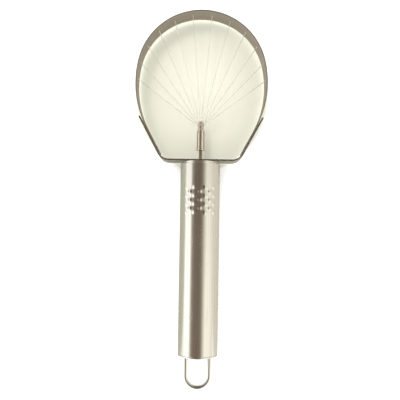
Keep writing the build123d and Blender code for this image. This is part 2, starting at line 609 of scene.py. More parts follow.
def build_scratches(graph: Graph, given: Sockets) -> Sockets:
    """Hairline scratches in patches.

    Args:
        graph: The nodes of the group.
        given: The group's inputs.

    Returns:
        The mask.
    """
    place = graph.node("ShaderNodeTexCoord").outputs["Object"]
    bent = graph.node(
        "ShaderNodeMapping", {"Vector": place, "Rotation": (0.3, 0.5, 0.2), "Scale": (1, 0.22, 1)}
    )
    pitch = graph.math("DIVIDE", 1 / MM, given["Size"])
    cells = graph.node(
        "ShaderNodeTexVoronoi", {"Vector": bent.outputs[0], "Scale": pitch}, feature="DISTANCE_TO_EDGE"
    )
    line = graph.spread(cells.outputs["Distance"], 0.0, 0.02, 1.0, 0.0)
    coarse = graph.math("MULTIPLY", pitch, 0.4)
    patch = graph.node("ShaderNodeTexNoise", {"Vector": place, "Scale": coarse})
    return {"Mask": graph.math("MULTIPLY", line, graph.spread(patch.outputs[0], 0.5, 0.65))}


FLOAT, VECTOR = "NodeSocketFloat", "NodeSocketVector"
GRAIN = Effect(
    "brushed_grain",
    (("Vector", VECTOR, 0.0), ("Across", FLOAT, 0.2), ("Along", FLOAT, 20.0)),
    ("Height", "Band"),
    build_grain,
)
SMUDGE = Effect("handling_smudge", (("Size", FLOAT, 15.0),), ("Mask",), build_smudge)
EDGE_WEAR_AND_SHADE = Effect(
    "edge_wear_and_shade",
    (("Worn", FLOAT, 0.0), ("Size", FLOAT, 2.0), ("Amount", FLOAT, 1.0)),
    ("Mask",),
    build_edge_wear_and_shade,
)
SCRATCHES = Effect("hair_scratches", (("Size", FLOAT, 8.0),), ("Mask",), build_scratches)


# ------------------------------------------------------------------ finishes


@dataclass(frozen=True)
class SteelFinish:
    """A stainless steel finish. Sizes are in millimetres.

    Grain blends the colour towards the shade. Worn edges take the colour times the edge tone:
    above 1 it is real wear, and below 1, on the strip and the yoke, it is painted shade on their
    rims. Polished spots take the polished colour.
    """

    name: str
    colour: Colour
    shade: Colour
    roughness: float
    roughness_spread: float = 0.08
    grain_across: float = 0.22
    grain_along: float = 30.0
    grain_depth: float = 0.004
    band_tint: float = 0.35
    smudge_size: float = 14.0
    smudge_haze: float = 0.06
    scratch_size: float = 7.0
    scratch_depth: float = 0.8
    scratch_haze: float = 0.12
    wear_size: float = 1.6
    wear_shine: float = 0.12
    edge_wear_and_shade: float = 0.5
    edge_wear_and_shade_tone: float = 1.25
    polished: Colour = (1.0, 0.99, 0.96)
    metal: float = 1.0

    def material(self) -> bpy.types.Material:
        """Builds the material.

        Returns:
            The material, or the one already built under this name.
        """
        if self.name in bpy.data.materials:
            return bpy.data.materials[self.name]
        made = bpy.data.materials.new(self.name)
        made.use_nodes = True
        made.node_tree.nodes.clear()
        graph = Graph(made.node_tree)
        place = graph.node("ShaderNodeAttribute", attribute_name="grain").outputs["Vector"]
        worn = graph.node("ShaderNodeAttribute", attribute_name="worn").outputs["Fac"]
        grain = GRAIN.place(graph, Vector=place, Across=self.grain_across, Along=self.grain_along)
        smudge = SMUDGE.place(graph, Size=self.smudge_size).outputs["Mask"]
        rubbed_and_shaded = EDGE_WEAR_AND_SHADE.place(graph, Worn=worn, Size=self.wear_size, Amount=self.edge_wear_and_shade)
        wear_and_rim_shade = rubbed_and_shaded.outputs["Mask"]
        scratch = SCRATCHES.place(graph, Size=self.scratch_size).outputs["Mask"]

        tint = graph.math("MULTIPLY", grain.outputs["Band"], self.band_tint)
        colour = graph.blend(tint, (*self.colour, 1), (*self.shade, 1))
        # Edges lighten where the tone is above 1, for real wear. They darken where it is below 1: painted
        # shade on the rims of the strip and the yoke.
        edge = tuple(min(1.0, part * self.edge_wear_and_shade_tone) for part in self.colour)
        colour = graph.blend(wear_and_rim_shade, colour, (*edge, 1))
        polished = graph.math("MULTIPLY", wear_and_rim_shade, -1.0)
        colour = graph.blend(polished, colour, (*self.polished, 1))

        swing = self.roughness_spread / 2
        rough = graph.spread(
            grain.outputs["Band"], 0.0, 1.0, self.roughness - swing, self.roughness + swing
        )
        rough = graph.math("ADD", rough, graph.math("MULTIPLY", smudge, self.smudge_haze))
        rough = graph.math("ADD", rough, graph.math("MULTIPLY", scratch, self.scratch_haze))
        rough = graph.math("SUBTRACT", rough, graph.math("MULTIPLY", wear_and_rim_shade, self.wear_shine))

        cut = graph.math("MULTIPLY", scratch, self.scratch_depth)
        relief = graph.math("SUBTRACT", grain.outputs["Height"], cut)
        bump = graph.node(
            "ShaderNodeBump", {"Height": relief, "Strength": 1.0, "Distance": self.grain_depth * MM}
        )
        shader = graph.node(
            "ShaderNodeBsdfPrincipled",
            {"Base Color": colour, "Roughness": rough, "Normal": bump.outputs[0],
             "Metallic": self.metal},
        )
        graph.node("ShaderNodeOutputMaterial", {"Surface": shader.outputs[0]})
        return made


BRUSHED_HANDLE = SteelFinish(
    "brushed_handle_steel", (0.69, 0.67, 0.62), (0.55, 0.53, 0.48), 0.2, grain_depth=0.0035,
    band_tint=0.5,
)
CAP_STEEL = SteelFinish(
    "turned_cap_steel", (0.66, 0.64, 0.59), (0.54, 0.52, 0.47), 0.22, grain_across=0.18,
    grain_along=9.0,
)
# The strip's edge tone below 1 darkens its rims: painted shade.
STRIP_STEEL = SteelFinish(
    "rolled_strip_steel", (0.43, 0.405, 0.365), (0.345, 0.32, 0.28), 0.46, grain_depth=0.003,
    smudge_haze=0.1, edge_wear_and_shade=0.9, edge_wear_and_shade_tone=0.68,
)
# The yoke's edge tone below 1 darkens its rims: painted shade.
YOKE_STEEL = SteelFinish(
    "pressed_yoke_steel", (0.5, 0.47, 0.42), (0.4, 0.37, 0.325), 0.27, grain_depth=0.003,
    smudge_haze=0.08, edge_wear_and_shade=0.8, edge_wear_and_shade_tone=0.75,
)
TURNED_STEEL = SteelFinish(
    "turned_post_steel", (0.74, 0.68, 0.59), (0.58, 0.52, 0.44), 0.3, grain_across=0.12,
    grain_along=6.0,
)
STUD_STEEL = SteelFinish(
    "threaded_stud_steel", (0.68, 0.62, 0.53), (0.52, 0.47, 0.4), 0.34, grain_across=0.1,
    grain_along=3.0,
)
PLAIN_STEEL = SteelFinish(
    "plain_hardware_steel", (0.58, 0.57, 0.54), (0.46, 0.45, 0.42), 0.34, grain_along=3.0,
    smudge_haze=0.12,
)
BEAD_STEEL = SteelFinish(
    "peened_bead_steel", (0.6, 0.58, 0.53), (0.45, 0.43, 0.39), 0.3, grain_across=0.15,
    grain_along=0.4,
)
WIRE_STEEL = SteelFinish(
    "drawn_wire_steel", (0.97, 0.96, 0.92), (0.9, 0.89, 0.85), 0.7, grain_across=0.05,
    grain_along=5.0, grain_depth=0.0008, metal=0.82,
)
LOOP_STEEL = SteelFinish(
    "bright_loop_steel", (0.68, 0.67, 0.64), (0.56, 0.55, 0.52), 0.1, grain_across=0.12,
    grain_along=10.0, grain_depth=0.001, smudge_haze=0.05,
)


def dress(
    piece: bpy.types.Object, finish: SteelFinish, slot: Slot, body: Body, *nodes: str
) -> bpy.types.Object:
    """Finishes a piece and ties it to its body and to the CAD nodes that it stands for.

    Args:
        piece: The mesh object.
        finish: Its steel.
        slot: Its material slot; not used.
        body: The body that it rides on.
        *nodes: CAD nodes that it replaces.

    Returns:
        The same piece.
    """
    piece.data.materials.append(finish.material())
    even = piece.modifiers.new("even_faces", "WEIGHTED_NORMAL")
    even.keep_sharp = True
    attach(piece, body.value)
    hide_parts(*nodes)
    LOG.info("%s rides on %s, finish %s", piece.name, body.value, finish.name)
    return piece


# ------------------------------------------------------------- sub-assemblies


@dataclass
class HoopLine:
    """The hoop's inner line: a round crown, two flatter side arcs and two straight ends."""

    side_radius: float = 54.0
    shoulder: float = math.radians(13.4)
    side_turn: float = math.radians(28.2)
    thickness: float = 0.6

    def __post_init__(self) -> None:
        """Works out the rest of the line from the hoop's box."""
        box = Span.of("hoop")
        drawn_in = (self.side_radius + self.thickness - box.size.x / 2) / math.cos(self.shoulder)
        self.radius = self.side_radius - drawn_in
        self.centre = Vector((0, box.high.y - self.radius - self.thickness, (box.low.z + box.high.z) / 2))
        self.side_centre = Vector((math.cos(self.shoulder), math.sin(self.shoulder), 0)) * -drawn_in
        self.width = box.size.z
        arc_drop = (self.side_radius + self.thickness) * math.sin(self.side_turn) - self.side_centre.y
        self.end_length = (self.centre.y - box.low.y - arc_drop) / math.cos(self.side_turn)
        self.crown_run = self.radius * (math.pi / 2 - self.shoulder)
        self.side_run = self.side_radius * (self.shoulder + self.side_turn)
        self.half_run = self.crown_run + self.side_run + self.end_length

    def on_crown(self, away: Vector) -> bool:
        """Whether a spot, measured from the hoop's centre, is beside the crown."""
        return away.y >= abs(away.x) * math.tan(self.shoulder)

    def at(self, run: float) -> tuple[Vector, Vector]:
        """Where the line is, a run from the crown's middle.

        Args:
            run: Distance along the line, to the right where positive.

        Returns:
            The point and the outward direction.
        """
        sign, run = (1 if run >= 0 else -1), abs(run)
        if run <= self.crown_run:
            angle = run / self.radius
            out = Vector((math.sin(angle), math.cos(angle), 0))
            spot = out * self.radius
        else:
            past = run - self.crown_run
            turn = min(past / self.side_radius - self.shoulder, self.side_turn)
            out = Vector((math.cos(turn), -math.sin(turn), 0))
            spot = self.side_centre + out * self.side_radius
            spot -= Vector((math.sin(turn), math.cos(turn), 0)) * max(0.0, past - self.side_run)
        mirror = Vector((sign, 1, 1))
        return self.centre + spot * mirror, out * mirror

    def run_of(self, spot: Vector) -> float:
        """The run of the point on the line that is nearest a spot beside the crown or a side arc.

        Args:
            spot: The spot.

        Returns:
            The run, to the right where positive.
        """
        away = spot - self.centre
        if self.on_crown(away):
            return self.radius * math.atan2(away.x, away.y)
        turn = math.atan2(self.side_centre.y - away.y, abs(away.x) - self.side_centre.x)
        return math.copysign(self.crown_run + self.side_radius * (self.shoulder + turn), away.x)

    def meets(self, start: Vector, heading: Vector, offset: float) -> Vector:
        """Where a wire meets the hoop.

        Args:
            start: A point on the wire.
            heading: Its direction.
            offset: Distance outside the hoop's inner face.

        Returns:
            The point on that face.
        """
        side = self.side_centre * Vector((math.copysign(1, heading.x), 1, 1))
        for middle, radius in ((Vector(), self.radius), (side, self.side_radius)):
            away = start - self.centre - middle
            flat = Vector((away.x, away.y, 0))
            forward = -flat.dot(heading)
            reach = forward + math.sqrt(forward**2 + (radius + offset) ** 2 - flat.length_squared)
            spot = start + heading * reach
            if self.on_crown(spot - self.centre):
                break
        return spot


@dataclass
class WireFan:
    """The taut wires and the domes that hold them outside the hoop."""

    line: HoopLine
    wire_pitch: float = math.radians(9.6)
    wire_end: float = 0.05
    bead_radius: float = 0.9
    bead_height: float = 0.93
    bead_fullness: float = 0.85
    bead_sides: int = 28
    bead_tiers: int = 9
    bead_grain_shift: float = 3.0

    def __post_init__(self) -> None:
        """Reads the wire's size from the second wire, which lies level."""
        self.wire_radius = Span.of("cutting_wire_02").size.z / 2

    def angle(self, index: int) -> float:
        """The wire's lean from the post's line, in radians."""
        return self.wire_pitch * (index - (WIRE_COUNT - 1) / 2)

    def ends(self, index: int) -> tuple[Vector, Vector]:
        """The two ends of a wire, from the box of its CAD node.

        Args:
            index: The wire's number, from 0 at the left.

        Returns:
            The end in the post's tip and the end in the bead.
        """
        box = Span.of(f"cutting_wire_{index + 1:02d}")
        lean = self.angle(index)
        inset_x, inset_y = self.wire_radius * math.cos(lean), self.wire_radius * abs(math.sin(lean))
        left, right = box.low.x + inset_x, box.high.x - inset_x
        level = box.size.z - 2 * self.wire_radius
        middle_z = self.line.centre.z
        rise = level if box.high.z - middle_z > middle_z - box.low.z else -level
        start_x, end_x = (left, right) if lean > 0 else (right, left)
        start = Vector((start_x, box.low.y + inset_y, middle_z + rise))
        return start, Vector((end_x, box.high.y - inset_y, middle_z))

    def hole(self, index: int, offset: float) -> Vector:
        """Where a wire passes an offset of the hoop's inner face.

        Args:
            index: The wire's number, from 0 at the left.
            offset: Distance outside the hoop's inner face.

        Returns:
            The point.
        """
        start, end = self.ends(index)
        heading = Vector((end.x - start.x, end.y - start.y, 0)).normalized()
        return self.line.meets(Vector((end.x, end.y, self.line.centre.z)), heading, offset)

    def build_wire(self, index: int) -> bpy.types.Object:
        """One drawn wire.

        Args:
            index: The wire's number, from 0 at the left.

        Returns:
            The dressed wire.
        """
        skin = Skin()
        start, end = self.ends(index)
        path = [start.lerp(end, share) for share in steps(0, 1, 0.1)]
        RoundWire(path, self.wire_radius, sides=12, end_radius=self.wire_end).add_to(skin)
        number = f"{index + 1:02d}"
        piece = skin.to_object(f"taut_wire_{number}")
        return dress(piece, WIRE_STEEL, Slot.WIRE, Body.SLICER, f"cutting_wire_{number}")

    def build_beads(self) -> bpy.types.Object:
        """The peened domes, one at each wire's end.

        Returns:
            The dressed domes, as one piece.
        """
        skin = Skin()
        sides, tiers = self.bead_sides, self.bead_tiers
        for index in range(WIRE_COUNT):
            seat = self.hole(index, self.line.thickness)
            out = self.line.at(self.line.run_of(seat))[1]
            along = out.cross(Vector((0, 0, 1)))
            firsts = []
            for tier in range(tiers + 1):
                rise = math.pi / 2 * tier / tiers
                reach = self.bead_radius * math.cos(rise) ** self.bead_fullness
                lift = self.bead_radius * self.bead_height * math.sin(rise)
                ring, grain = [], []
                for side in range(sides):
                    turn = math.tau * side / sides
                    arm = along * math.cos(turn) + Vector((0, 0, math.sin(turn)))
                    spot = arm * reach + out * lift
                    ring.append(seat + spot)
                    grain.append(spot + Vector((index * self.bead_grain_shift, 0, 0)))
                firsts.append(skin.add_ring(ring, grain, [eased(tier / tiers)] * sides))
            skin.join(firsts, sides)
        piece = skin.to_object("wire_end_domes")
        return dress(piece, BEAD_STEEL, Slot.BEAD, Body.SLICER, "wire_beads")

    def build(self) -> None:
        """Builds every wire and the domes."""
        for index in range(WIRE_COUNT):
            self.build_wire(index)
        self.build_beads()


@dataclass
class Hoop:
    """The bent strip, dished round each wire's hole."""

    line: HoopLine
    fan: WireFan
    edge: float = 0.2
    step: float = 1.2
    row_margin: float = 1.0
    row_clear: float = 1.1
    dish_radius: float = 0.85
    dish_depth: float = 0.22
    dish_step: float = 0.14

    def build(self) -> bpy.types.Object:
        """Bends and dishes the strip.

        Returns:
            The dressed hoop.
        """
        holes = [self.line.run_of(self.fan.hole(index, 0)) for index in range(WIRE_COUNT)]
        near = steps(-self.dish_radius, self.dish_radius, self.dish_step)
        fine = [hole + shift for hole in holes for shift in near]
        coarse = [run for run in steps(-self.line.half_run, self.line.half_run, self.step)
                  if all(abs(run - hole) > self.dish_radius + STATION_GAP for hole in holes)]
        half = self.line.width / 2 - self.row_margin
        far = [z for z in steps(-half, half, self.step) if abs(z) > self.row_clear]

        def dish(run: float, z: float, offset: float) -> float:
            """Depth of the dish round the nearest hole, on the inner face only.

            Args:
                run: Distance along the strip.
                z: Height from the strip's middle.
                offset: Distance from the inner face.

            Returns:
                The dent, outwards.
            """
            if offset > 0.0:
                return 0.0
            away = min(math.hypot(run - hole, z) for hole in holes)
            return self.dish_depth * (1 - eased(away / self.dish_radius))

        skin = Skin()
        rows = sorted(near + far)
        section = StripSection(self.line.width, 0.0, self.line.thickness, self.edge, rows)
        runs = sorted(fine + coarse)
        StripSweep(self.line.at, runs, section, dish, polish=1 / self.dish_depth).add_to(skin)
        return dress(skin.to_object("strip_hoop"), STRIP_STEEL, Slot.FRAME, Body.SLICER, "hoop")


@dataclass
class Yoke:
    """The forked strip: a flat base, two bends and two splayed arms welded outside the hoop."""

    line: HoopLine
    thickness: float = 1.0
    bend_radius: float = 6.5
    weld_gap: float = 0.02
    edge: float = 0.28
    step: float = 0.7
    row_step: float = 0.3
    row_margin: float = 0.8
    weld_backs: tuple[float, float] = (5.0, 14.0)
    weld_height: float = 3.6
    weld_radius: float = 1.7
    weld_flat: float = 0.55
    weld_depth: float = 0.12
    weld_step: float = 0.25

    def __post_init__(self) -> None:
        """Works out the bend points from the yoke's box and the hoop's straight ends."""
        box = Span.of("yoke")
        turn = self.line.side_turn
        self.base_y = box.low.y + self.thickness / 2
        self.along_arm = Vector((math.sin(turn), math.cos(turn), 0))
        offset = self.line.thickness + self.weld_gap + self.thickness / 2
        spot, out = self.line.at(self.line.crown_run + self.line.side_run)
        root = spot + out * offset
        corner = root - self.along_arm * (root.y - self.base_y) / math.cos(turn)
        self.bend_turn = math.pi / 2 - turn
        setback = self.bend_radius * math.tan(self.bend_turn / 2)
        self.half_base = corner.x - setback
        self.bend_run = self.bend_radius * self.bend_turn
        tip_y = box.high.y - self.thickness / 2 * math.sin(turn)
        self.arm_run = (tip_y - corner.y) / math.cos(turn) - setback
        self.half_run = self.half_base + self.bend_run + self.arm_run

    def at(self, run: float) -> tuple[Vector, Vector]:
        """Where the strip's middle line is, a run from the base's middle.

        Args:
            run: Distance along the strip, to the right where positive.

        Returns:
            The point and the outward direction.
        """
        sign, run = (1 if run >= 0 else -1), abs(run)
        past = min(max(run - self.half_base, 0.0), self.bend_run) / self.bend_radius
        out = Vector((math.sin(past), -math.cos(past), 0))
        spot = Vector((min(run, self.half_base), self.bend_radius, 0)) + out * self.bend_radius
        spot += self.along_arm * max(0.0, run - self.half_base - self.bend_run)
        mirror = Vector((sign, 1, 1))
        return Vector((0, self.base_y, self.line.centre.z)) + spot * mirror, out * mirror

    def build(self) -> bpy.types.Object:
        """Bends the strip and presses its spot welds.

        Returns:
            The dressed yoke.
        """
        welds = [(side * (self.half_run - back), z) for side in (-1, 1)
                 for back in self.weld_backs for z in (-self.weld_height, self.weld_height)]
        reach = self.weld_radius + 0.2
        near = steps(-reach, reach, self.weld_step)
        fine = [run + shift for run in sorted({weld[0] for weld in welds}) for shift in near]
        coarse = [run for run in steps(-self.half_run, self.half_run, self.step)
                  if all(abs(run - weld[0]) > reach + STATION_GAP for weld in welds)]
        half = self.line.width / 2 - self.row_margin

        def weld_mark(run: float, z: float, offset: float) -> float:
            """Depth of the electrode's mark at the nearest spot weld, on the outer face only.

            Args:
                run: Distance along the strip.
                z: Height from the strip's middle.
                offset: Distance from the middle line.

            Returns:
                The dent, inwards and so below 0.
            """
            if offset < self.thickness / 2 - 0.01:
                return 0.0
            away = min(math.hypot(run - weld[0], z - weld[1]) for weld in welds)
            past_flat = (away / self.weld_radius - self.weld_flat) / (1 - self.weld_flat)
            return -self.weld_depth * (1 - eased(past_flat))

        skin = Skin()
        thick = self.thickness / 2
        rows = steps(-half, half, self.row_step)
        section = StripSection(self.line.width, -thick, thick, self.edge, rows)
        StripSweep(self.at, sorted(fine + coarse), section, weld_mark).add_to(skin)
        return dress(skin.to_object("forked_yoke"), YOKE_STEEL, Slot.FRAME, Body.SLICER, "yoke")


@dataclass
class Handle:
    """The brushed tube with its embossed grip, and the plugs in its two ends."""

    centre_z: float
    wall: float = 0.8
    lip: float = 0.3
    bump_radius: float = 1.5
    bump_rows: int = 7
    row_pitch: float = 2.27
    column_pitch: float = math.radians(15.0)
    columns_each_side: int = 3
    patch_start: float = 12.2
    patch_step: float = 0.24
    plain_step: float = 3.0
    plain_turn: float = math.radians(3)
    plug_edge: float = 0.2
    plug_bore_share: float = 0.74
    cap_edge: float = 0.6
    cap_bevel: float = 0.12
    cap_sides: int = 96
    slot_room: float = 0.3
    slot_corner: float = 0.5
    bore_room: float = 0.06
    loop_swing: float = math.radians(25.0)

    def __post_init__(self) -> None:
        """Reads the tube's sizes from its box."""
        box = Span.of("handle_tube")
        self.radius = box.size.x / 2
        self.bump_height = box.high.z - self.centre_z - self.radius
        self.low_y, self.high_y = box.low.y, box.high.y
        self.spigot = self.radius - self.wall - PLUG_CLEARANCE

    def bumps(self) -> list[tuple[float, float]]:
        """Angle and station of every bump in the staggered patch.

        Returns:
            The bumps, column by column.
        """
        first_y = self.high_y - self.patch_start - self.bump_radius
        found = []
        for column in range(-self.columns_each_side, self.columns_each_side + 1):
            shift = (column + self.columns_each_side + (self.bump_rows // 2) % 2 + 1) % 2
            for row in range(shift, self.bump_rows, 2):
                found.append((column * self.column_pitch, first_y - row * self.row_pitch))
        return found

    def build_tube(self) -> bpy.types.Object:
        """The tube, with its lips eased and its bumps raised.

        Returns:
            The dressed tube.
        """
        bumps = self.bumps()
        patch_high = max(y for _, y in bumps) + self.bump_radius
        patch_low = min(y for _, y in bumps) - self.bump_radius
        inner = self.radius - self.wall
        corner = (0, self.radius - self.lip)
        high, low = self.high_y - self.lip, self.low_y + self.lip
        outer_ys = steps(high, patch_high, self.plain_step)
        outer_ys += steps(patch_high, patch_low, self.patch_step)[1:]
        outer_ys += steps(patch_low, low, self.plain_step)[1:]
        outline = [(r, high + y) for y, r in rounded_corner(corner, self.lip, 0)][:-1]
        outline += [(self.radius, y) for y in outer_ys]
        outline += [(r, low + y) for y, r in rounded_corner(corner, self.lip, 90)][1:]
        outline += [(inner, self.low_y), (inner, self.high_y)]
        patch_edge = self.columns_each_side * self.column_pitch + self.bump_radius / self.radius
        fine = steps(-patch_edge, patch_edge, self.patch_step / self.radius)
        angles = fine + steps(patch_edge, math.tau - patch_edge, self.plain_turn)[1:-1]
        skin, firsts = Skin(), []
        for radius, y in outline:
            ring, grain = [], []
            near = [(turn, bump_y) for turn, bump_y in bumps
                    if radius == self.radius and abs(bump_y - y) < self.bump_radius]
            for angle in angles:
                rise = 0.0
                for turn, bump_y in near:
                    away = math.hypot((angle - turn) * self.radius, y - bump_y)
                    rise = max(rise, self.bump_height * (1 - eased(away / self.bump_radius)))
                reach, x, z = radius + rise, math.sin(angle), math.cos(angle)
                ring.append(Vector((reach * x, y, self.centre_z + reach * z)))
                grain.append(Vector((radius * x, y, radius * z)))
            edge = 1.0 if min(self.high_y - y, y - self.low_y) < self.lip * 0.99 else 0.0
            firsts.append(skin.add_ring(ring, grain, [edge] * len(angles)))
        skin.join(firsts, len(angles), loop=True)
        piece = skin.to_object("grip_tube")
        return dress(piece, BRUSHED_HANDLE, Slot.HANDLE, Body.SLICER, "handle_tube")

    def build_top_plug(self) -> bpy.types.Object:
        """The flanged plug under the yoke.

        Returns:
            The dressed plug.
        """
        box = Span.of("handle_top_plug")
        flange, soft = box.size.x / 2, self.plug_edge
        bore = Span.of("anchor_stud").size.x / 2 * self.plug_bore_share
        corner = rounded_corner((0, flange - soft), soft, 0)
        outline = [(r, box.high.y - soft + y) for y, r in corner]
        outline += [(flange, self.high_y), (self.spigot, self.high_y), (self.spigot, box.low.y)]
        outline += [(bore, box.low.y), (bore, box.high.y)]

        def rim(radius: float, y: float) -> float:
            """Wear of the flange's rim."""
            return 0.6 if radius > flange - 0.3 else 0.0

        skin = Skin()
        Turning(outline, self.centre_z, worn=rim).add_to(skin)
        piece = skin.to_object("yoke_plug")
        return dress(piece, CAP_STEEL, Slot.FRAME, Body.SLICER, "handle_top_plug")

    def cut(self, piece: bpy.types.Object, cutter: bpy.types.Object) -> None:
        """Cuts one solid out of another and removes the cutter.

        Args:
            piece: The solid that is cut.
            cutter: The solid taken away.
        """
        tool = piece.modifiers.new("cut", "BOOLEAN")
        tool.operation, tool.object, tool.solver = "DIFFERENCE", cutter, "EXACT"
        bpy.context.view_layer.objects.active = piece
        bpy.ops.object.modifier_apply(modifier=tool.name)
        bpy.data.objects.remove(cutter)

    def build_end_cap(self, loop: "HangingLoop") -> bpy.types.Object:
        """The end cap, slotted and cross-bored for the hanging loop.

        Args:
            loop: The loop that swings in it.

        Returns:
            The dressed cap.
        """
        box = Span.of("handle_end_cap")
        soft, bevel, room = self.cap_edge, self.cap_bevel, self.slot_room
        corner = rounded_corner((0, self.radius - soft), soft, 90, 6)
        outline = [(self.radius, self.low_y - bevel), (self.radius - bevel, self.low_y)]
        outline += [(self.spigot, self.low_y), (self.spigot, box.high.y), (0, box.high.y)]
        outline += [(0, box.low.y)] + [(r, box.low.y + soft + y) for y, r in reversed(corner)]

        def face(radius: float, y: float) -> float:
            """Wear of the cap's outer face."""
            return 0.5 if y < box.low.y + 0.5 else 0.0

        skin = Skin()
        Turning(outline, self.centre_z, self.cap_sides, loop=False, worn=face).add_to(skin)
        skin.join([len(skin.points) - self.cap_sides, 0], self.cap_sides, capped=False)
        piece = skin.to_object("slotted_end_cap")
        half_height = loop.pivot_depth(box.low.y) * math.tan(self.loop_swing)
        half_height += loop.radius / math.cos(self.loop_swing) + room
        half_width = loop.leg_x + loop.bend_radius + room
        slot_top = loop.pivot_y + loop.radius + room
        self.cut(piece, self.slot_cutter(half_width, half_height, box.low.y - 1, slot_top))
        bore = Skin()
        pivot = Vector((0, loop.pivot_y, self.centre_z))
        reach = Vector((self.radius + 1, 0, 0))
        path = [pivot - reach, pivot, pivot + reach]
        RoundWire(path, loop.radius + self.bore_room, sides=48).add_to(bore)
        self.cut(piece, bore.to_object("bore_cutter"))
        piece.data.shade_smooth()
        piece.data.set_sharp_from_angle(angle=math.radians(SHARP_ANGLE))
        return dress(piece, CAP_STEEL, Slot.HANDLE, Body.SLICER, "handle_end_cap")

    def slot_cutter(
        self, half_width: float, half_height: float, low_y: float, high_y: float
    ) -> bpy.types.Object:
        """A slab with rounded corners, for the slot.

        Args:
            half_width: Half its size along X.
            half_height: Half its size along Z.
            low_y: Its lower station.
            high_y: Its upper station.

        Returns:
            The cutter.
        """
        around = rounded_box(half_width, half_height, self.slot_corner)
        skin, firsts = Skin(), []
        for y in (low_y, high_y):
            ring = [Vector((x, y, self.centre_z + z)) for x, z in around]
            firsts.append(skin.add_ring(ring, ring, [0.0] * len(ring)))
        skin.join(firsts, len(around))
        return skin.to_object("slot_cutter")

    def build(self, loop: "HangingLoop") -> None:
        """Builds the tube and both plugs.

        Args:
            loop: The loop that swings in the end cap.
        """
        self.build_tube()
        self.build_top_plug()
        self.build_end_cap(loop)


@dataclass
class HangingLoop:
    """Round wire bent to a loop, hinged on its own turned-out ends."""

    centre_z: float
    pin_length: float = 2.8
    pin_step: float = 0.4
    pin_end: float = 0.3
    bend_radius: float = 1.3

    def __post_init__(self) -> None:
        """Reads the loop's sizes from its box."""
        box = Span.of("hanging_loop")
        self.radius = box.size.z / 2
        self.pin_x = box.high.x
        self.leg_x = self.pin_x - self.pin_length
        self.pivot_y = box.high.y - self.radius
        self.end_y = box.low.y

    def pivot_depth(self, face_y: float) -> float:
        """How far the pivot lies inside the cap's face."""
        return self.pivot_y - face_y

    def path(self) -> list[Vector]:
        """The wire's line, from the right pin round to the left one.

        Returns:
            The points of the line.
        """
        arc_y = self.end_y + self.radius + self.leg_x
        bend = self.bend_radius
        bend_x = self.leg_x + bend
        right = [(x, self.pivot_y) for x in steps(self.pin_x, bend_x, self.pin_step)]
        right += [(bend_x - bend * math.sin(a), self.pivot_y - bend + bend * math.cos(a))
                  for a in turns(10, 90, 10)]
        right += [(self.leg_x, y) for y in steps(self.pivot_y - bend, arc_y, 1.0)[1:]]
        end = [(self.leg_x * math.cos(a), arc_y - self.leg_x * math.sin(a))
               for a in turns(5, 175, 5)]
        left = [(-x, y) for x, y in reversed(right)]
        return [Vector((x, y, self.centre_z)) for x, y in right + end + left]

    def build(self) -> bpy.types.Object:
        """Bends the loop.

        Returns:
            The dressed loop.
        """
        skin = Skin()
        RoundWire(self.path(), self.radius, sides=32, end_radius=self.pin_end).add_to(skin)
        piece = skin.to_object("hanging_loop_wire")
        return dress(piece, LOOP_STEEL, Slot.LOOP, Body.LOOP, "hanging_loop")


